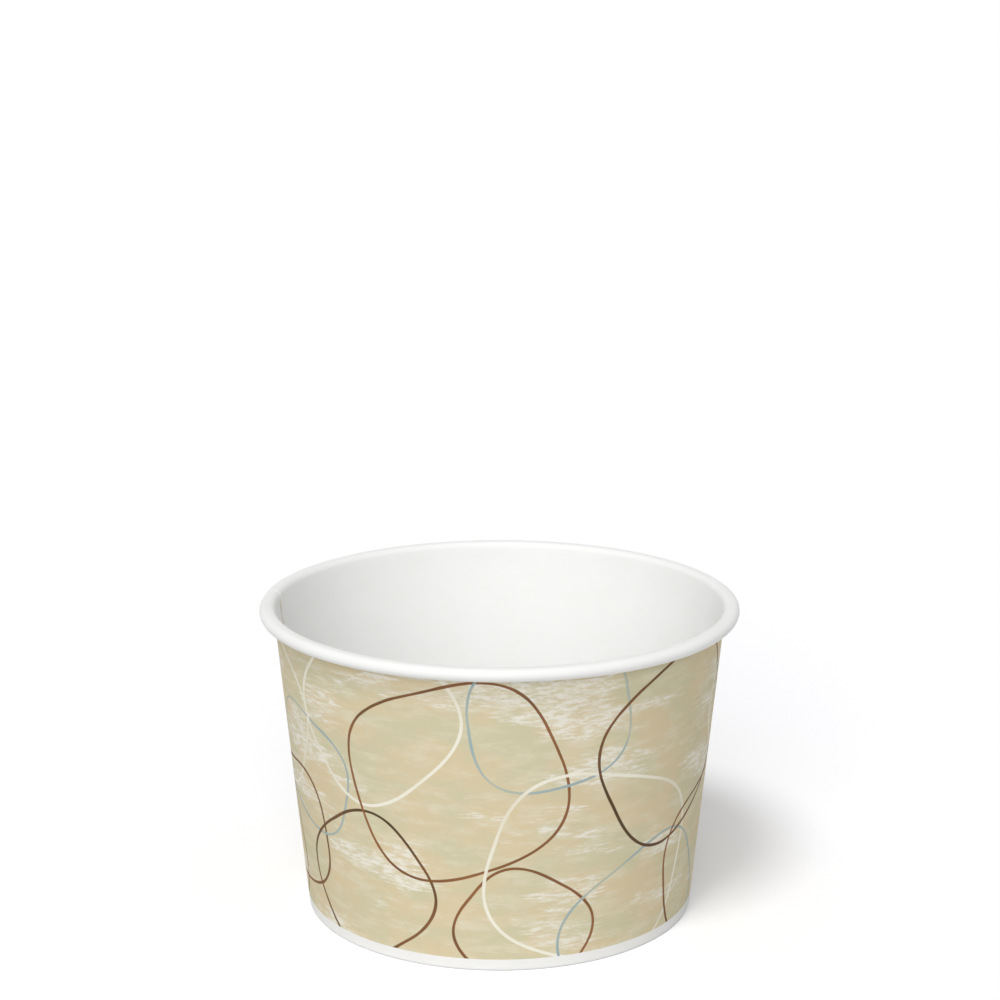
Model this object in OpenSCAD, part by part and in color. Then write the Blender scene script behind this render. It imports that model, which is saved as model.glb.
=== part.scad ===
// Squat paper food container, open at the top.
// A tapered sidewall is wrapped from one board blank: its top edge is rolled outward into a rim, its
// straight edges lap at a side seam, and its lower edge is folded in and up around the bottom disc.
// The container stands on z = 0 with its axis on Z, and the seam is at the left, near -X.

/* [Container] */
// Outside diameter of the rolled rim
rim_d = 91; // [86:0.5:100]
// Height from the table to the top of the rim
height = 59.6; // [45:0.2:80]
// Outside diameter of the foot
base_d = 74; // [66:0.5:80]

/* [Board] */
// Thickness of the sidewall board
wall_t = 0.4; // [0.3:0.01:0.5]
// Thickness of the bottom board
disc_t = 0.35; // [0.25:0.01:0.5]
// Film of melted coating between the bottom board and the sidewall board
seal_gap = 0.03; // [0.02:0.01:0.08]

/* [Rolled rim] */
// Width of the roll, from the inside face of the wall to its outer edge
roll_w = 2.95; // [2.8:0.05:4]
// Height of the roll
roll_h = 2.45; // [2.1:0.05:2.6]
// Room between the tucked edge of the roll and the lapped wall
tuck_gap = 0.15; // [0.05:0.05:0.2]

/* [Foot] */
// Height of the underside of the bottom above the table
recess_h = 6; // [4:0.1:10]
// Inside radius of the two creases of the fold
crease_r = 0.08; // [0.05:0.01:0.12]
// Bend radius of the bottom board where it turns down
disc_bend_r = 0.8; // [0.5:0.05:1.2]
// Distance from the bend of the bottom board down to the edge of the hem
hem_gap = 0.2; // [0.1:0.05:1]
// Room between the edge of the skirt and the fold
skirt_gap = 0.2; // [0.1:0.05:0.5]

/* [Side seam] */
// Direction of the middle of the lap, seen from above
seam_dir = 167; // [0:1:359]
// Angle that the lap takes up
lap_angle = 10; // [6:0.5:15]
// Angle over which the outer layer comes down beside the lap
ramp_angle = 10; // [8:0.5:14]
// Step left at each end of that ramp
ramp_step = 0.02; // [0.01:0.01:0.04]
// Distance from the fold up to the lower edge of the outer layer
lap_foot = 0.3; // [0.1:0.1:2]
// Height over which that lower edge is pressed thin
lap_thin = 1.2; // [0.5:0.1:3]
// Distance from the roll down to the upper edge of the outer layer
lap_head = 0.2; // [0.1:0.05:1]
// Width of the line left along the cut edge of the inner layer
edge_w = 0.25; // [0.15:0.05:0.5]
// Depth of that line
edge_depth = 0.15; // [0.05:0.05:0.25]

/* [Hidden] */
$fn = 180;
BEND_STEPS = 7;
BOARD_COLOUR = [0.86, 0.82, 0.70];
DISC_COLOUR = [0.96, 0.96, 0.94];

rim_r = rim_d / 2;
half_t = wall_t / 2;
half_disc_t = disc_t / 2;

// The middle of the wall board: its radius at the table, and its lean
foot_mid_r = base_d / 2 - half_t;
lean = (rim_r - roll_w + half_t - foot_mid_r) / height;
taper = atan(lean);

// Radius at height z of a line parallel to the wall board, a distance inside its middle
function inside_wall(z, distance) = foot_mid_r + lean * z - distance / cos(taper);

// The roll: two bends, one beside the wall and one at the outer edge
roll_r = (roll_h - wall_t) / 2;
roll_z = height - half_t - roll_r;
roll_in_r = inside_wall(roll_z, -roll_r);
roll_out_r = rim_r - half_t - roll_r;
tuck = asin((roll_r - 3 * half_t - tuck_gap) / (roll_r + half_t));

// The fold at the foot: two creases with a flat between them, on which the container stands
fold_r = half_t + crease_r;
fold_z = half_t + fold_r;
hem_in = wall_t + disc_t + 2 * seal_gap;
fold_in_r = inside_wall(fold_z, hem_in - fold_r);
fold_out_r = inside_wall(fold_z, fold_r);

// The bottom board: a flat disc, a bend and a skirt along the wall
disc_z = recess_h + half_disc_t;
disc_bend_z = disc_z - disc_bend_r;
skirt_in = half_t + seal_gap + half_disc_t;
skirt_z = wall_t + skirt_gap;
hem_z = disc_bend_z - hem_gap;

// The side seam: two layers over the lap, and beside it a ramp whose round has an axis of its own, so
// that the outer layer comes down onto the round of the wall
lap_low_z = fold_z + lap_foot;
lap_high_z = height - roll_h - lap_head;
seam_r = inside_wall(height / 2, -half_t);
ramp_rise_r = seam_r + wall_t - 4 * ramp_step;
ramp_axis = (ramp_rise_r ^ 2 - seam_r ^ 2) / (2 * (seam_r - ramp_rise_r * cos(ramp_angle)));
edge_angle = edge_w / seam_r * 180 / PI;

// A place on the middle of a board is [radius, height, direction that its outer face looks in]
function bend(r, z, bend_r, from, to, turn, steps = BEND_STEPS) = [
    for (i = [0:steps])
        let (a = from + (to - from) * i / steps)
        [r + bend_r * cos(a), z + bend_r * sin(a), a + turn]
];

function wall_place(z) = [inside_wall(z, 0), z, -taper];

// The sidewall board from the edge of its hem, round the fold, up the wall and round the roll
foot_path = concat(
    [[inside_wall(hem_z, hem_in), hem_z, 180 - taper]],
    bend(fold_in_r, fold_z, fold_r, 180 - taper, 270, 0),
    bend(fold_out_r, fold_z, fold_r, 270, 360 - taper, 0)
);
roll_path = concat(
    bend(roll_in_r, roll_z, roll_r, 180 - taper, 90, 180),
    bend(roll_out_r, roll_z, roll_r, 90, -90, 180, 2 * BEND_STEPS)
);
tuck_path = bend(roll_in_r, roll_z, roll_r, -90, -90 - tuck, 180);

// The bottom board from its centre out to the bend and down the skirt
disc_path = concat(
    [[0, disc_z, 90]],
    bend(inside_wall(disc_bend_z, skirt_in + disc_bend_r), disc_bend_z, disc_bend_r, 90, -taper, 0),
    [[inside_wall(skirt_z, skirt_in), skirt_z, -taper]]
);

// The face of a board at a distance to the outer side of its middle
function face(path, distance) =
    [for (p = path) [p[0] + distance * cos(p[2]), p[1] + distance * sin(p[2])]];

function backward(points) = [for (i = [len(points) - 1:-1:0]) points[i]];

// Section of a board between two such distances
function section(path, near, far) = concat(face(path, near), backward(face(path, far)));

// Section of the sidewall board where it is single, and where a second layer lies on it
wall_section = section(concat(foot_path, roll_path, tuck_path), -half_t, half_t);
lapped_section = concat(
    face(concat(foot_path, roll_path, tuck_path), -half_t),
    backward(face(concat([wall_place(lap_high_z)], roll_path, tuck_path), half_t)),
    face([wall_place(lap_high_z), wall_place(lap_low_z + lap_thin)], half_t + wall_t),
    backward(face(concat(foot_path, [wall_place(lap_low_z)]), half_t))
);

// The line along the cut edge of the inner layer, up the inside and over the roll
edge_path = concat([wall_place(disc_z + disc_t)], roll_path);

module edge_line() {
    rotate_extrude(start = -ramp_angle - 2 * edge_angle, angle = edge_angle)
        polygon(section(edge_path, -half_t - edge_depth, edge_depth - half_t));
}

// The space outside the ramp
module ramp_space() {
    difference() {
        cylinder(h = height - roll_h - lap_head / 2, r = rim_r);
        translate([-ramp_axis, 0, 0])
            cylinder(
                h = height,
                r1 = inside_wall(0, -half_t) + ramp_step + ramp_axis,
                r2 = inside_wall(height, -half_t) + ramp_step + ramp_axis
            );
    }
}

// The sidewall in three stretches around its axis: single wall, lap and ramp
module sidewall() {
    color(BOARD_COLOUR)
        rotate([0, 0, seam_dir + lap_angle / 2 + ramp_angle]) {
            rotate_extrude(angle = 360 - ramp_angle - lap_angle)
                polygon(wall_section);
            difference() {
                rotate_extrude(start = -ramp_angle - lap_angle, angle = lap_angle)
                    polygon(lapped_section);
                edge_line();
            }
            difference() {
                rotate_extrude(start = -ramp_angle, angle = ramp_angle)
                    polygon(lapped_section);
                ramp_space();
            }
        }
}

module bottom_disc() {
    color(DISC_COLOUR)
        rotate_extrude()
            polygon(section(disc_path, -half_disc_t, half_disc_t));
}

sidewall();
bottom_disc();
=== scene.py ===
"""A squat paper food container: a printed sidewall board with a rolled rim, and a bottom disc in its hem."""

import math

import bmesh
import bpy
import numpy as np
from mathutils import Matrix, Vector


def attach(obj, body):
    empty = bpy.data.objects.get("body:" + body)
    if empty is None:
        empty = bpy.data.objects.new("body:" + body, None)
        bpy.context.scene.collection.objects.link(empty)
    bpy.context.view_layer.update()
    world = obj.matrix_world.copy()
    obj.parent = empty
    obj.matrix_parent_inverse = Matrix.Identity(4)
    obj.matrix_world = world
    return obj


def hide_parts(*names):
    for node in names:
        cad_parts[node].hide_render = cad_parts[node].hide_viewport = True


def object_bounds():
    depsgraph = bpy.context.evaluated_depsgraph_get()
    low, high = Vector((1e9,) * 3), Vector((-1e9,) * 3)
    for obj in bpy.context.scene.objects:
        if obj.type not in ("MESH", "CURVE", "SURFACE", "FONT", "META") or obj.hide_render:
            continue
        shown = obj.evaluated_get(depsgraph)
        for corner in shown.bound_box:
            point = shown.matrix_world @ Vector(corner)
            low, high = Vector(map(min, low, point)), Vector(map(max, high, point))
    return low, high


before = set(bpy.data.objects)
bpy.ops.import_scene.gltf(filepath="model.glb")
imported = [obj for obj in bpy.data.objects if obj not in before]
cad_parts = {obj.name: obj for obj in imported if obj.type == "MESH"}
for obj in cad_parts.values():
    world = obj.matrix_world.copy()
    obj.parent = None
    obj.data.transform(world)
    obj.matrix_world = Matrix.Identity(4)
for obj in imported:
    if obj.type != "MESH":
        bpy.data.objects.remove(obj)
cad_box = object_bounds()

MM = 0.001

# The container, in millimetres and degrees: its outer size from the frame, the rest as in the part's source
RIM_D = round(float(cad_box[1][0] - cad_box[0][0]) / MM, 1)
HEIGHT = round(float(cad_box[1][2]) / MM, 1)
BASE_D = 74.0
WALL_T = 0.4
DISC_T = 0.35
SEAL_GAP = 0.03
ROLL_W = 2.95
ROLL_H = 2.45
TUCK_GAP = 0.15
RECESS_H = 6.0
CREASE_R = 0.08
DISC_BEND_R = 0.8
HEM_GAP = 0.2
SKIRT_GAP = 0.2
SEAM_DIR = 167.0
LAP_ANGLE = 10.0
RAMP_ANGLE = 10.0
LAP_FOOT = 0.3
LAP_THIN = 1.2
LAP_HEAD = 0.2

# What the boards do beyond their plain sections: room between the roll and the CAD box, glue in the lap,
# thickness of the lap's pressed lower edge, step of the lap in the roll, angle by which the inner cut edge
# stops short of the lap's end, depth of the pressed lines in the hem, and sag of the bottom, which ends at
# the roll's radius divided by its taper
RIM_EASE = 0.015
GLUE = 0.01
THIN_EDGE = 0.03
ROLL_STEP = 0.07
END_GAP = 0.02
KNURL_DEPTH = 0.12
DISC_SAG = 0.12
DISC_SAG_TAPER = 1.2

# The unevenness of the formed wall: size, waves by number round the wall and phase, and where they die away
WAVE = 0.05
WAVES = ((2, 0.4), (3, 1.9), (5, 4.2), (8, 2.6))
WAVE_FOOT = 10.0
WAVE_HEAD = 4.0
WAVE_EASE = 15.0

# The mesh: angle of a column, rows and bend steps along the sections, the height above the fold at which the
# hem's rows end, columns of the bottom, and when points merge and edges stay sharp
COLUMN_STEP = 1.0
HEM_ROWS = 5
HEM_FOOT = 0.3
FOLD_STEPS = 7
WALL_ROWS = 34
ROLL_IN_STEPS = 8
ROLL_OUT_STEPS = 20
TUCK_STEPS = 3
DISC_ROWS = 15
DISC_BEND_STEPS = 8
DISC_COLUMNS = 180
MERGE_M = 1e-7
SHARP_ANGLE = 50.0

# Directions in the section, in radians from the one that leads away from the axis
UP = math.pi / 2
IN = math.pi
DOWN = 1.5 * math.pi
FULL_TURN = 2 * math.pi

HALF_T = WALL_T / 2
HALF_DISC_T = DISC_T / 2
FOOT_MID_R = BASE_D / 2 - HALF_T
LEAN = (RIM_D / 2 - ROLL_W + HALF_T - FOOT_MID_R) / HEIGHT
TAPER = math.atan(LEAN)


def inside_wall(z, distance):
    """Radius at height z of a line parallel to the wall board, a distance inside its middle."""
    return FOOT_MID_R + LEAN * z - distance / math.cos(TAPER)


ROLL_R = (ROLL_H - WALL_T) / 2
ROLL_Z = HEIGHT - HALF_T - ROLL_R
ROLL_IN_R = inside_wall(ROLL_Z, -ROLL_R)
ROLL_OUT_R = RIM_D / 2 - HALF_T - ROLL_R - RIM_EASE
TUCK = math.asin((ROLL_R - 3 * HALF_T - TUCK_GAP) / (ROLL_R + HALF_T))

FOLD_R = HALF_T + CREASE_R
FOLD_Z = HALF_T + FOLD_R
HEM_IN = WALL_T + DISC_T + 2 * SEAL_GAP
FOLD_IN_R = inside_wall(FOLD_Z, HEM_IN - FOLD_R)
FOLD_OUT_R = inside_wall(FOLD_Z, FOLD_R)

DISC_Z = RECESS_H + HALF_DISC_T
DISC_BEND_Z = DISC_Z - DISC_BEND_R
SKIRT_IN = HALF_T + SEAL_GAP + HALF_DISC_T
SKIRT_Z = WALL_T + SKIRT_GAP
HEM_Z = DISC_BEND_Z - HEM_GAP

LAP_LOW_Z = FOLD_Z + LAP_FOOT
LAP_FULL_Z = LAP_LOW_Z + LAP_THIN
LAP_HIGH_Z = HEIGHT - ROLL_H - LAP_HEAD
SEAM_R = inside_wall(HEIGHT / 2, -HALF_T)

# The flat blank is a sector round the point where the lines of the wall's outer face meet
BLANK_APEX = inside_wall(0, -HALF_T) / math.sin(TAPER)
FRONT = 270.0


def bend(r, z, bend_r, start, end, steps, printed_inside=False):
    """Places [radius, height, direction that the printed face looks in] round a bend of a board."""
    a = np.linspace(start, end, steps + 1)
    look = a + math.pi if printed_inside else a
    return np.stack([r + bend_r * np.cos(a), z + bend_r * np.sin(a), look], 1)


def along_wall(heights, distance, look):
    """Such places on a line parallel to the wall board."""
    return np.array([[inside_wall(z, distance), z, look] for z in heights])


def eased(x):
    """Smooth step from 0 to 1."""
    x = np.clip(x, 0, 1)
    return x * x * (3 - 2 * x)


def wall_path():
    """The sidewall board from the edge of its hem, round the fold, up the wall and round the roll."""
    hem_heights = np.linspace(HEM_Z, FOLD_Z + HEM_FOOT, HEM_ROWS)
    thin_heights = [LAP_LOW_Z, (LAP_LOW_Z + LAP_FULL_Z) / 2, LAP_FULL_Z]
    full_heights = np.linspace(LAP_FULL_Z, LAP_HIGH_Z, WALL_ROWS + 1)[1:]
    return np.concatenate([
        along_wall(hem_heights, HEM_IN, IN - TAPER),
        bend(FOLD_IN_R, FOLD_Z, FOLD_R, IN - TAPER, DOWN, FOLD_STEPS),
        bend(FOLD_OUT_R, FOLD_Z, FOLD_R, DOWN, FULL_TURN - TAPER, FOLD_STEPS),
        along_wall(np.concatenate([thin_heights, full_heights]), 0, -TAPER),
        bend(ROLL_IN_R, ROLL_Z, ROLL_R, IN - TAPER, UP, ROLL_IN_STEPS, printed_inside=True),
        bend(ROLL_OUT_R, ROLL_Z, ROLL_R, UP, -UP, ROLL_OUT_STEPS, printed_inside=True),
        bend(ROLL_IN_R, ROLL_Z, ROLL_R, -UP, -UP - TUCK, TUCK_STEPS, printed_inside=True),
    ])


def disc_path():
    """The bottom board from its centre out to the bend and down the skirt."""
    flat_r = inside_wall(DISC_BEND_Z, SKIRT_IN + DISC_BEND_R)
    flat = [[r, DISC_Z, UP] for r in np.linspace(0, flat_r, DISC_ROWS + 1)[:-1]]
    turn = bend(flat_r, DISC_BEND_Z, DISC_BEND_R, UP, -TAPER, DISC_BEND_STEPS)
    skirt = along_wall([(DISC_BEND_Z + SKIRT_Z) / 2, SKIRT_Z], SKIRT_IN, -TAPER)
    return np.concatenate([flat, turn, skirt])


# The board's rows are places along its section, and its columns are angles from its outer cut edge
path = wall_path()
reach = np.concatenate([[0], np.cumsum(np.hypot(*np.diff(path[:, :2], axis=0).T))])
low_row, full_row, high_row = (
    int(np.argmin(np.hypot(path[:, 0] - inside_wall(z, 0), path[:, 1] - z)))
    for z in (LAP_LOW_Z, LAP_FULL_Z, LAP_HIGH_Z)
)
last_row = len(path) - 1
turned = np.append(np.arange(0, 360 + LAP_ANGLE, COLUMN_STEP), 360 + LAP_ANGLE - END_GAP)
lap_column = int(round(LAP_ANGLE / COLUMN_STEP))
last_column = len(turned) - 1
column_bearing = np.radians(SEAM_DIR - LAP_ANGLE / 2 + turned)


def board_offsets():
    """Distances of the board's two faces from the middle of the single wall, by column and row.

    The outer end of the board lies on its inner end over the lap, and comes down beside it as a ramp.
    """
    rise = np.interp(
        reach,
        [reach[low_row], reach[full_row], reach[high_row], reach[high_row + 1]],
        [0, 1, 1, ROLL_STEP / WALL_T],
    )
    fade = 1 - eased((turned - LAP_ANGLE) / RAMP_ANGLE)
    lift = (WALL_T + GLUE) * fade[:, None] * rise[None, :]
    near = lift - HALF_T
    far = lift + HALF_T
    lap_rows = slice(low_row, high_row + 1)
    lap_columns = slice(0, lap_column + 1)
    near[lap_columns, lap_rows] = HALF_T + GLUE
    far[lap_columns, lap_rows] = HALF_T + GLUE + np.maximum(WALL_T * rise[lap_rows], THIN_EDGE)
    hem_rows = (path[:, 1] > FOLD_Z + FOLD_R) & (np.arange(len(path)) < low_row)
    far[1::2, hem_rows] -= KNURL_DEPTH
    return near, far


def board_points(offset):
    """Points of one face of the board, with the slight unevenness of a formed wall."""
    r = path[None, :, 0] + offset * np.cos(path[None, :, 2])
    z = path[None, :, 1] + offset * np.sin(path[None, :, 2])
    waves = sum(np.cos(count * column_bearing + phase) / count for count, phase in WAVES)
    held = eased((z - WAVE_FOOT) / WAVE_EASE) * eased((HEIGHT - WAVE_HEAD - z) / WAVE_EASE)
    r = r + WAVE * waves[:, None] * held
    x = r * np.cos(column_bearing)[:, None]
    y = r * np.sin(column_bearing)[:, None]
    return np.stack([x, y, z], 2) * MM


# The flat layout for baked maps, on a square of side 1: the printed wall in four quarters, and above them
# a strip across the square for each other stretch of the board
MARGIN = 0.005
QUARTERS = 4
QUARTER_W = 0.5
QUARTER_H = 0.4
EDGE_BOTTOM = 0.983
EDGE_PITCH = 0.004
EDGE_H = 0.003


def strip(bottom, height):
    """[left, bottom, width, height] of a strip across the square."""
    return [MARGIN, bottom, 1 - 2 * MARGIN, height]


WALL_STRIPS = [
    [
        MARGIN + QUARTER_W * (k % 2),
        MARGIN + QUARTER_H * (k // 2),
        QUARTER_W - 2 * MARGIN,
        QUARTER_H - 2 * MARGIN,
    ]
    for k in range(QUARTERS)
]
INNER_STRIP = strip(0.81, 0.08)
ROLL_STRIP = strip(0.9, 0.03)
FOOT_STRIP = strip(0.937, 0.023)
HIDDEN_ROLL_STRIP = strip(0.964, 0.006)
HIDDEN_FOOT_STRIP = strip(0.974, 0.006)
EDGE_STRIPS = [strip(EDGE_BOTTOM + EDGE_PITCH * k, EDGE_H) for k in range(4)]


def in_strip(place, u, v):
    """Places in a strip, from fractions of its width and height."""
    left, bottom, width, height = place
    return np.stack([left + width * u, bottom + height * v], -1)


def layout(columns, rows, printed):
    """Places of the corners of the board's faces in the flat layout."""
    first = rows[:, :1]
    on_wall = (first >= low_row) & (first < high_row)
    on_roll = first >= high_row
    across = columns / last_column
    up_foot, up_wall, up_roll = (
        (reach[rows] - reach[a]) / (reach[b] - reach[a])
        for a, b in ((0, low_row), (low_row, high_row), (high_row, last_row))
    )
    wall = in_strip(INNER_STRIP, across, up_wall)
    if printed:
        quarter = np.minimum(columns.min(1, keepdims=True) * QUARTERS // last_column, QUARTERS - 1)
        ends = np.ceil(np.arange(QUARTERS + 1) * last_column / QUARTERS)
        share = (columns - ends[quarter]) / (ends[quarter + 1] - ends[quarter])
        for k, place in enumerate(WALL_STRIPS):
            wall = np.where((quarter == k)[..., None], in_strip(place, share, up_wall), wall)
    roll = in_strip(HIDDEN_ROLL_STRIP if printed else ROLL_STRIP, across, up_roll)
    foot = in_strip(FOOT_STRIP if printed else HIDDEN_FOOT_STRIP, across, up_foot)
    return np.where(on_wall[..., None], wall, np.where(on_roll[..., None], roll, foot))


def blank_places(columns, rows):
    """Places on the flat blank in millimetres, measured from the middle of the front at the table."""
    slant = BLANK_APEX + path[rows, 1] / math.cos(TAPER)
    turn = (column_bearing[columns] - math.radians(FRONT)) * math.sin(TAPER)
    return np.stack([slant * np.sin(turn), slant * np.cos(turn) - BLANK_APEX], -1)


def wrap_places(columns, rows):
    """Places in millimetres along the round of the wall and along the board's section."""
    return np.stack([np.radians(turned[columns]) * SEAM_R, reach[rows] - reach[low_row]], -1)


# Corners of a cell of the board, steps to the cells beside it, and the order of the board's materials
CORNERS = np.array([[0, 0], [1, 0], [1, 1], [0, 1]])
BESIDE = np.array([[0, -1], [1, 0], [0, 1], [-1, 0]])
PRINTED_SIDE, COATED_SIDE, CUT_SIDE = range(3)


def board_sides():
    """Faces of the board by side: points, columns, rows and layout places of their corners, and material."""
    column, row = np.meshgrid(np.arange(last_column), np.arange(last_row), indexing="ij")
    kept = (column >= lap_column) | ((row >= low_row) & (row < high_row))
    cells = np.stack([column[kept], row[kept]], 1)
    columns = cells[:, :1] + CORNERS[None, :, 0]
    rows = cells[:, 1:] + CORNERS[None, :, 1]
    far = columns * len(path) + rows
    to_near = len(turned) * len(path)
    coated_places = layout(columns, rows, False)[:, ::-1]
    sides = [
        (far, columns, rows, layout(columns, rows, True), PRINTED_SIDE),
        (far[:, ::-1] + to_near, columns[:, ::-1], rows[:, ::-1], coated_places, COATED_SIDE),
    ]
    held = np.pad(kept, 1)
    for k, step in enumerate(BESIDE):
        beside = cells + step + 1
        bare = ~held[beside[:, 0], beside[:, 1]]
        after = (k + 1) % len(CORNERS)
        pick = [after, k, k, after]
        points, edge_columns, edge_rows = (corners[bare][:, pick] for corners in (far, columns, rows))
        points[:, 2:] += to_near
        along = edge_columns / last_column if k % 2 == 0 else edge_rows / last_row
        depth = np.broadcast_to([1.0, 1.0, 0.0, 0.0], along.shape)
        sides.append((points, edge_columns, edge_rows, in_strip(EDGE_STRIPS[k], along, depth), CUT_SIDE))
    return sides


def board_mesh():
    """The sidewall board as one closed sheet that laps over itself at the seam."""
    near, far = (board_points(offset) for offset in board_offsets())
    sides = board_sides()
    corners, columns, rows, bake = (np.concatenate([side[k] for side in sides]) for k in range(4))
    materials = np.concatenate([np.full(len(side[0]), side[4]) for side in sides])
    used, index = np.unique(corners, return_inverse=True)
    points = np.concatenate([far.reshape(-1, 3), near.reshape(-1, 3)])[used]
    mesh = bpy.data.meshes.new("sidewall_board")
    mesh.from_pydata(points.tolist(), [], index.reshape(-1, 4).tolist())
    maps = {"OFBake": bake, "blank": blank_places(columns, rows), "wrap": wrap_places(columns, rows)}
    for name, places in maps.items():
        mesh.uv_layers.new(name=name).uv.foreach_set("vector", places.astype(np.float32).ravel())
    mesh.polygons.foreach_set("material_index", materials.astype(np.int32))
    return mesh


def disc_mesh():
    """The bottom board, spun from its section."""
    places = disc_path()
    places[:, 1] -= DISC_SAG * eased(1 - places[:, 0] / ROLL_IN_R * DISC_SAG_TAPER)
    look = np.stack([np.cos(places[:, 2]), np.sin(places[:, 2])], 1)
    lower, upper = (places[:, :2] + side * HALF_DISC_T * look for side in (-1, 1))
    outline = np.concatenate([lower, upper[::-1]]) * MM
    bm = bmesh.new()
    points = [bm.verts.new((x, 0, z)) for x, z in outline]
    edges = [bm.edges.new(pair) for pair in zip(points, points[1:])]
    bmesh.ops.spin(
        bm, geom=points + edges, axis=(0, 0, 1), cent=(0, 0, 0),
        angle=FULL_TURN, steps=DISC_COLUMNS, use_merge=True,
    )
    bmesh.ops.remove_doubles(bm, verts=bm.verts, dist=MERGE_M)
    bmesh.ops.recalc_face_normals(bm, faces=bm.faces)
    mesh = bpy.data.meshes.new("bottom_board")
    bm.to_mesh(mesh)
    bm.free()
    return mesh


def piece(name, mesh, stands_for, materials):
    """Makes an object of a mesh, hangs it from the root and hides the node of the frame whose place it
    takes.
    """
    mesh.validate()
    mesh.shade_smooth()
    mesh.set_sharp_from_angle(angle=math.radians(SHARP_ANGLE))
    made = bpy.data.objects.new(name, mesh)
    bpy.context.scene.collection.objects.link(made)
    for material in materials:
        mesh.materials.append(material)
    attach(made, "root")
    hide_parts(stands_for)


def srgb(red, green, blue):
    """Linear colour of an 8-bit colour."""
    parts = [c / 255 for c in (red, green, blue)]
    return tuple(c / 12.92 if c <= 0.04045 else ((c + 0.055) / 1.055) ** 2.4 for c in parts) + (1.0,)


BOARD_WHITE = srgb(250, 250, 249)
BOARD_SHADE = srgb(248, 248, 246)
RAW_LIGHT = srgb(246, 244, 238)
RAW_DARK = srgb(236, 231, 220)
BEIGE_WARM = srgb(226, 209, 172)
BEIGE_GREEN = srgb(216, 209, 175)
BEIGE_LIGHT = srgb(231, 222, 195)
BRUSH_WHITE = srgb(245, 241, 228)
DARK_BROWN = srgb(80, 58, 34)
RED_BROWN = srgb(152, 100, 60)
CREAM = srgb(251, 248, 233)
BLUE_GREY = srgb(156, 181, 188)


def node(tree, kind, inputs=None, **settings):
    """Adds a shader node. An input is a value, or an output of another node."""
    made = tree.nodes.new("ShaderNode" + kind)
    for key, value in settings.items():
        setattr(made, key, value)
    for key, value in (inputs or {}).items():
        if isinstance(value, bpy.types.NodeSocket):
            tree.links.new(value, made.inputs[key])
        else:
            made.inputs[key].default_value = value
    return made


def number(tree, operation, *values):
    """Result of one step of arithmetic on numbers."""
    return node(tree, "Math", dict(enumerate(values)), operation=operation).outputs[0]


def vectors(tree, operation, *values):
    """Result of one step on vectors, which is a vector or, for a length or a dot product, a number."""
    made = node(tree, "VectorMath", dict(enumerate(values)), operation=operation)
    return made.outputs["Value" if operation in ("LENGTH", "DOT_PRODUCT") else "Vector"]


def ramp(tree, value, low, high, start=0.0, end=1.0):
    """Smooth step of a value between two limits."""
    inputs = {"Value": value, "From Min": low, "From Max": high, "To Min": start, "To Max": end}
    return node(tree, "MapRange", inputs, interpolation_type="SMOOTHSTEP").outputs[0]


def mixed(tree, factor, a, b):
    """Mix of two colours."""
    return node(tree, "Mix", {0: factor, 6: a, 7: b}, data_type="RGBA").outputs[2]


def noise(tree, place, scale, detail=3.0, roughness=0.55, output="Fac"):
    """Noise on a place in millimetres, with a scale per millimetre on each axis."""
    spread = vectors(tree, "MULTIPLY", place, scale)
    inputs = {"Vector": spread, "Scale": 1.0, "Detail": detail, "Roughness": roughness}
    return node(tree, "TexNoise", inputs).outputs[output]


def marks(tree, place, limits, **kind):
    """Marks between 0 and 1, or between the last two limits, where noise lies between the first two."""
    return ramp(tree, noise(tree, place, **kind), *limits)


# Paper: fibres and the larger clouds between them, in the relief, the gloss and the colour of a board
FIBRE_DETAIL = 5.0
FIBRE_ROUGHNESS = 0.62
CLOUD_SHARE = 0.09
RELIEF_LIMITS = (0.6, 1.4)
CLOUD_LIMITS = (0.3, 0.7)
PULP_LIMITS = (0.35, 0.65)


def board_material(name, colour_of, place_of, roughness, shine, fibre_depth, fibre_scale):
    """A paper surface: a colour from its own nodes, and fibres in its relief and its gloss."""
    material = bpy.data.materials.new(name)
    material.use_nodes = True
    tree = material.node_tree
    tree.nodes.clear()
    place = place_of(tree)
    fibre = noise(tree, place, fibre_scale, FIBRE_DETAIL, FIBRE_ROUGHNESS)
    cloud = noise(tree, place, tuple(CLOUD_SHARE * s for s in fibre_scale))
    relief = number(tree, "ADD", fibre, cloud)
    bump = node(tree, "Bump", {"Strength": 1.0, "Distance": fibre_depth * MM, "Height": relief})
    shader = node(tree, "BsdfPrincipled", {
        "Base Color": colour_of(tree, place, fibre, cloud),
        "Roughness": ramp(tree, relief, *RELIEF_LIMITS, *roughness),
        "Normal": bump.outputs[0],
        "Specular IOR Level": shine,
    })
    out = node(tree, "OutputMaterial", {"Surface": shader.outputs[0]})
    out.is_active_output = True
    return material


def wrap_place(tree):
    """Millimetres along the round of the wall and up its section."""
    return node(tree, "UVMap", uv_map="wrap").outputs[0]


def object_place(tree):
    """Millimetres in the container's own frame."""
    return vectors(tree, "MULTIPLY", node(tree, "TexCoord").outputs["Object"], (1 / MM, 1 / MM, 1 / MM))


def white_colour(tree, place, fibre, cloud):
    """Coated white board, very slightly clouded."""
    return mixed(tree, ramp(tree, cloud, *CLOUD_LIMITS), BOARD_WHITE, BOARD_SHADE)


def raw_colour(tree, place, fibre, cloud):
    """The pulp in a cut edge."""
    return mixed(tree, ramp(tree, fibre, *PULP_LIMITS), RAW_LIGHT, RAW_DARK)


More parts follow.
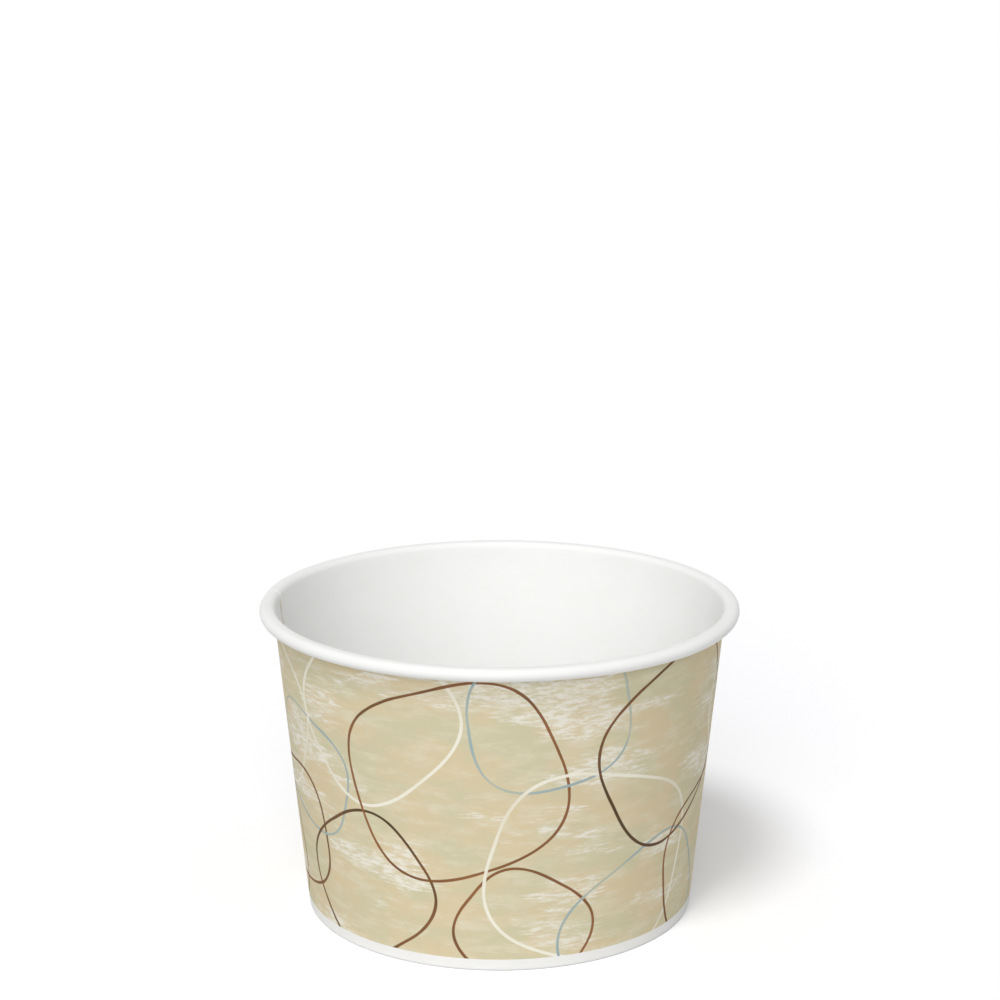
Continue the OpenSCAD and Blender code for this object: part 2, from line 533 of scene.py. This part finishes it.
# The brushed ground: marks per millimetre along the round and up the wall, and the limits of each layer
TONE = {"scale": (0.07, 0.12, 1), "detail": 4.0, "roughness": 0.6, "limits": (0.38, 0.62)}
WASH = {"scale": (0.12, 0.4, 1), "detail": 6.0, "roughness": 0.7, "limits": (0.45, 0.67, 0.0, 0.8)}
PATCH = {"scale": (0.035, 0.085, 1), "detail": 5.0, "roughness": 0.62, "limits": (0.518, 0.592)}
BRISTLE = {"scale": (0.4, 1.4, 1), "detail": 5.0, "roughness": 0.68, "limits": (0.4, 0.6, 0.1, 1.0)}
STRAND = {"scale": (0.035, 1.4, 1), "detail": 4.0, "roughness": 0.6}
BRUSH_PULL = 18.0

# The lower edge of the print: its height, and how far it wanders and blurs
PRINT_LOW = 2.36
PRINT_RAGGED = 0.1
PRINT_BLUR = 0.04
RAGGED = {"scale": (0.6, 0.6, 1), "detail": 2.0}

# The inks: two colours between which a line fades, and its width
INKS = {
    "dark": (DARK_BROWN, RED_BROWN, 0.6),
    "red": (RED_BROWN, DARK_BROWN, 0.56),
    "cream": (CREAM, BEIGE_LIGHT, 0.63),
    "blue": (BLUE_GREY, BEIGE_GREEN, 0.5),
}
INK_COVER = 0.97
INK_FADE = 0.6

# The unevenness of the lines: how far they stray from their outline, in width and between their colours
LINE_STRAY = 0.8
STRAY = {"scale": (0.06, 0.06, 1), "detail": 2.0}
WIDTH = {"scale": (0.15, 0.15, 1), "detail": 2.0, "limits": (0.3, 0.7, 0.85, 1.1)}
FADE = {"scale": (0.05, 0.05, 1), "detail": 2.0, "limits": (0.35, 0.65)}
LINE_EDGE = (0.62, 0.38)

# The printed outlines: bearing from the front, height, half width, half height, tilt and ink
OUTLINES = [
    (-62, 33, 13, 11, -20, "blue"),
    (-40, 14, 14, 13, 35, "dark"),
    (-34, 48, 17, 15, 40, "cream"),
    (-12, 37, 20, 18, 20, "red"),
    (7, 8, 12, 11, -35, "red"),
    (13, 49, 15, 13, 10, "blue"),
    (28, 19, 21, 18, -15, "cream"),
    (45, 5, 18, 15, 30, "blue"),
    (54, 40, 19, 17, 30, "dark"),
    (78, 14, 17, 15, 15, "red"),
    (96, 43, 16, 14, -30, "cream"),
    (104, 20, 13, 12, 5, "dark"),
]

# They repeat round the wall, and are drawn as far as they reach onto the blank
REPEAT = 178.0
REPEATS = (-1, 0, 1)
OVERHANG = 32.0
BLANK_START = SEAM_DIR - LAP_ANGLE / 2 - FRONT
BLANK_END = BLANK_START + 360 + LAP_ANGLE


def outline_group():
    """Node group that draws one soft square on the flat blank, with a line of even width."""
    tree = bpy.data.node_groups.new("outline", "ShaderNodeTree")
    sockets = {"Place": "Vector", "Centre": "Vector", "Tilt": "Vector", "Half": "Vector", "Width": "Float"}
    for name, kind in sockets.items():
        tree.interface.new_socket(name=name, in_out="INPUT", socket_type="NodeSocket" + kind)
    tree.interface.new_socket(name="Mask", in_out="OUTPUT", socket_type="NodeSocketFloat")
    given = tree.nodes.new("NodeGroupInput").outputs
    inputs = {
        "Vector": given["Place"],
        "Location": given["Centre"],
        "Rotation": given["Tilt"],
        "Scale": given["Half"],
    }
    local = node(tree, "Mapping", inputs, vector_type="TEXTURE").outputs[0]

    # The size of a place, the cube root of |x|^3 + |y|^3, is 1 on the outline and grows by slope / size^2
    side = vectors(tree, "ABSOLUTE", local)
    square = vectors(tree, "MULTIPLY", side, side)
    size = number(tree, "POWER", vectors(tree, "DOT_PRODUCT", square, side), 1 / 3)
    slope = vectors(tree, "LENGTH", vectors(tree, "DIVIDE", square, given["Half"]))
    off = number(tree, "SUBTRACT", size, 1.0)
    level = number(tree, "MULTIPLY", off, number(tree, "MULTIPLY", size, size))
    widths_away = number(tree, "DIVIDE", level, number(tree, "MULTIPLY", slope, given["Width"]))
    mask = ramp(tree, number(tree, "ABSOLUTE", widths_away), *LINE_EDGE)
    tree.links.new(mask, tree.nodes.new("NodeGroupOutput").inputs["Mask"])
    return tree


def brushed_ground(tree, place):
    """Beige in two hues, washed lighter in short streaks, with dry brush marks in white."""
    ground = mixed(tree, marks(tree, place, **TONE), BEIGE_WARM, BEIGE_GREEN)
    ground = mixed(tree, marks(tree, place, **WASH), ground, BEIGE_LIGHT)
    pull = number(tree, "MULTIPLY", noise(tree, place, **STRAND), BRUSH_PULL)
    torn = vectors(tree, "ADD", place, node(tree, "CombineXYZ", {"X": pull}).outputs[0])
    brushed = number(tree, "MULTIPLY", marks(tree, torn, **PATCH), marks(tree, place, **BRISTLE))
    return mixed(tree, brushed, ground, BRUSH_WHITE)


def with_outlines(tree, colour):
    """Draws the outlines over a colour."""
    blank = node(tree, "UVMap", uv_map="blank").outputs[0]
    stray = vectors(tree, "SUBTRACT", noise(tree, blank, output="Color", **STRAY), (0.5, 0.5, 0.5))
    stray = vectors(tree, "MULTIPLY", stray, (LINE_STRAY, LINE_STRAY, 0))
    place = vectors(tree, "ADD", blank, stray)
    width = marks(tree, blank, **WIDTH)
    fade = number(tree, "MULTIPLY", marks(tree, blank, **FADE), INK_FADE)
    inks = {
        name: (mixed(tree, fade, first, second), number(tree, "MULTIPLY", width, line_width))
        for name, (first, second, line_width) in INKS.items()
    }
    drawn = outline_group()
    for repeat in REPEATS:
        for bearing, height, half_w, half_h, tilt, ink in OUTLINES:
            bearing = bearing + repeat * REPEAT
            if not BLANK_START - OVERHANG < bearing < BLANK_END + OVERHANG:
                continue
            turn = math.radians(bearing) * math.sin(TAPER)
            slant = BLANK_APEX + height
            ink_colour, line_width = inks[ink]
            inputs = {
                "Place": place,
                "Centre": (slant * math.sin(turn), slant * math.cos(turn) - BLANK_APEX, 0),
                "Tilt": (0, 0, math.radians(tilt) - turn),
                "Half": (half_w, half_h, 1),
                "Width": line_width,
            }
            line = node(tree, "Group", inputs, node_tree=drawn)
            cover = number(tree, "MULTIPLY", line.outputs["Mask"], INK_COVER)
            colour = mixed(tree, cover, colour, ink_colour)
    return colour


def printed_colour(tree, place, fibre, cloud):
    """Brushed ground with outlines in four inks, down to a ragged edge above a bare white margin."""
    colour = with_outlines(tree, brushed_ground(tree, place))
    up = node(tree, "SeparateXYZ", {0: place}).outputs["Y"]
    edge = number(tree, "MULTIPLY_ADD", noise(tree, place, **RAGGED), PRINT_RAGGED, up)
    low = (PRINT_LOW - LAP_LOW_Z) / math.cos(TAPER) + PRINT_RAGGED / 2
    printed = ramp(tree, edge, low - PRINT_BLUR, low + PRINT_BLUR)
    return mixed(tree, printed, white_colour(tree, place, fibre, cloud), colour)


printed_board = board_material(
    "printed_board", printed_colour, wrap_place,
    roughness=(0.58, 0.7), shine=0.15, fibre_depth=0.012, fibre_scale=(1.6, 3.0, 1.0),
)
coated_board = board_material(
    "coated_board", white_colour, wrap_place,
    roughness=(0.4, 0.52), shine=0.3, fibre_depth=0.01, fibre_scale=(1.6, 2.6, 1.0),
)
cut_edge = board_material(
    "cut_edge", raw_colour, wrap_place,
    roughness=(0.75, 0.9), shine=0.2, fibre_depth=0.03, fibre_scale=(6.0, 6.0, 1.0),
)
disc_board = board_material(
    "disc_board", white_colour, object_place,
    roughness=(0.42, 0.55), shine=0.3, fibre_depth=0.01, fibre_scale=(2.6, 1.6, 2.6),
)

piece("sidewall_board", board_mesh(), "sidewall", [printed_board, coated_board, cut_edge])
piece("bottom_board", disc_mesh(), "bottom_disc", [disc_board])

# The camera, in metres and radians: the point it looks at, its tilt down, its distance and its lens
EYE_AIM = Vector((0.0001, 0.0, 0.07886))
EYE_TILT = 0.23623
EYE_DISTANCE = 0.46075
EYE_LENS = 88.096
EYE_SENSOR = 36.0
EYE_NEAR = 0.01
EYE_FAR = 50.0


def make_camera():
    """The camera that stands where the photograph was taken from."""
    eye = bpy.data.objects.new("eye", bpy.data.cameras.new("eye"))
    bpy.context.scene.collection.objects.link(eye)
    toward = Vector((0, math.cos(EYE_TILT), -math.sin(EYE_TILT)))
    eye.location = EYE_AIM - toward * EYE_DISTANCE
    eye.rotation_mode = "QUATERNION"
    eye.rotation_quaternion = toward.to_track_quat("-Z", "Y")
    eye.data.sensor_width = EYE_SENSOR
    eye.data.lens = EYE_LENS
    eye.data.clip_start = EYE_NEAR
    eye.data.clip_end = EYE_FAR
    bpy.context.scene.camera = eye


# The light: a high key from the front left, a low soft fill from the front, and an even sky
LAMPS = [
    {"name": "key", "bearing": 245.0, "height": 60.0, "spread": 16.0, "strength": 1.02},
    {"name": "fill", "bearing": 262.0, "height": 25.0, "spread": 40.0, "strength": 1.06},
]
SKY = 0.415
SKY_SEEN = 1.0


def make_lamp(name, bearing, height, spread, strength):
    """A far soft lamp: where it stands and how wide it looks are angles in degrees."""
    light = bpy.data.lights.new(name, "SUN")
    light.energy = strength
    light.angle = math.radians(spread)
    made = bpy.data.objects.new(name, light)
    made.rotation_euler = (math.radians(90 - height), 0, math.radians(bearing + 90))
    bpy.context.scene.collection.objects.link(made)


def seen_ray(tree):
    """1 for rays that the camera sees straight, or by way of a gloss or a glass."""
    rays = node(tree, "LightPath").outputs
    seen = rays["Is Camera Ray"]
    for name in ("Is Glossy Ray", "Is Transmission Ray"):
        seen = number(tree, "MAXIMUM", seen, rays[name])
    return seen


def make_sky():
    """An even sky, which is seen as white."""
    world = bpy.data.worlds.new("sky")
    bpy.context.scene.world = world
    world.use_nodes = True
    tree = world.node_tree
    tree.nodes.clear()
    inputs = {"Value": seen_ray(tree), "From Min": 0.0, "From Max": 1.0, "To Min": SKY, "To Max": SKY_SEEN}
    strength = node(tree, "MapRange", inputs).outputs[0]
    sky = node(tree, "Background", {"Color": (1, 1, 1, 1), "Strength": strength})
    node(tree, "OutputWorld", {"Surface": sky.outputs[0]})


# The floor: half its side in metres, its colour for the light that it throws back, and its colour as seen,
# which is white in the light and a neutral grey in the container's shadow
FLOOR_HALF = 10.0
FLOOR_COLOUR = (0.66, 0.66, 0.66, 1)
FLOOR_SEEN = (1.206, 1.21, 1.23, 1)


def make_floor():
    """A plain pale floor."""
    mesh = bpy.data.meshes.new("floor")
    corners = [(x * FLOOR_HALF, y * FLOOR_HALF, 0) for x, y in ((-1, -1), (1, -1), (1, 1), (-1, 1))]
    mesh.from_pydata(corners, [], [range(4)])
    floor = bpy.data.objects.new("floor", mesh)
    bpy.context.scene.collection.objects.link(floor)
    material = bpy.data.materials.new("floor")
    material.use_nodes = True
    tree = material.node_tree
    tree.nodes.clear()
    matt = node(tree, "BsdfDiffuse", {"Color": mixed(tree, seen_ray(tree), FLOOR_COLOUR, FLOOR_SEEN)})
    node(tree, "OutputMaterial", {"Surface": matt.outputs[0]})
    mesh.materials.append(material)


make_camera()
for setting in LAMPS:
    make_lamp(**setting)
make_sky()
make_floor()

bpy.context.scene.view_settings.view_transform = "Standard"

bpy.context.view_layer.update()
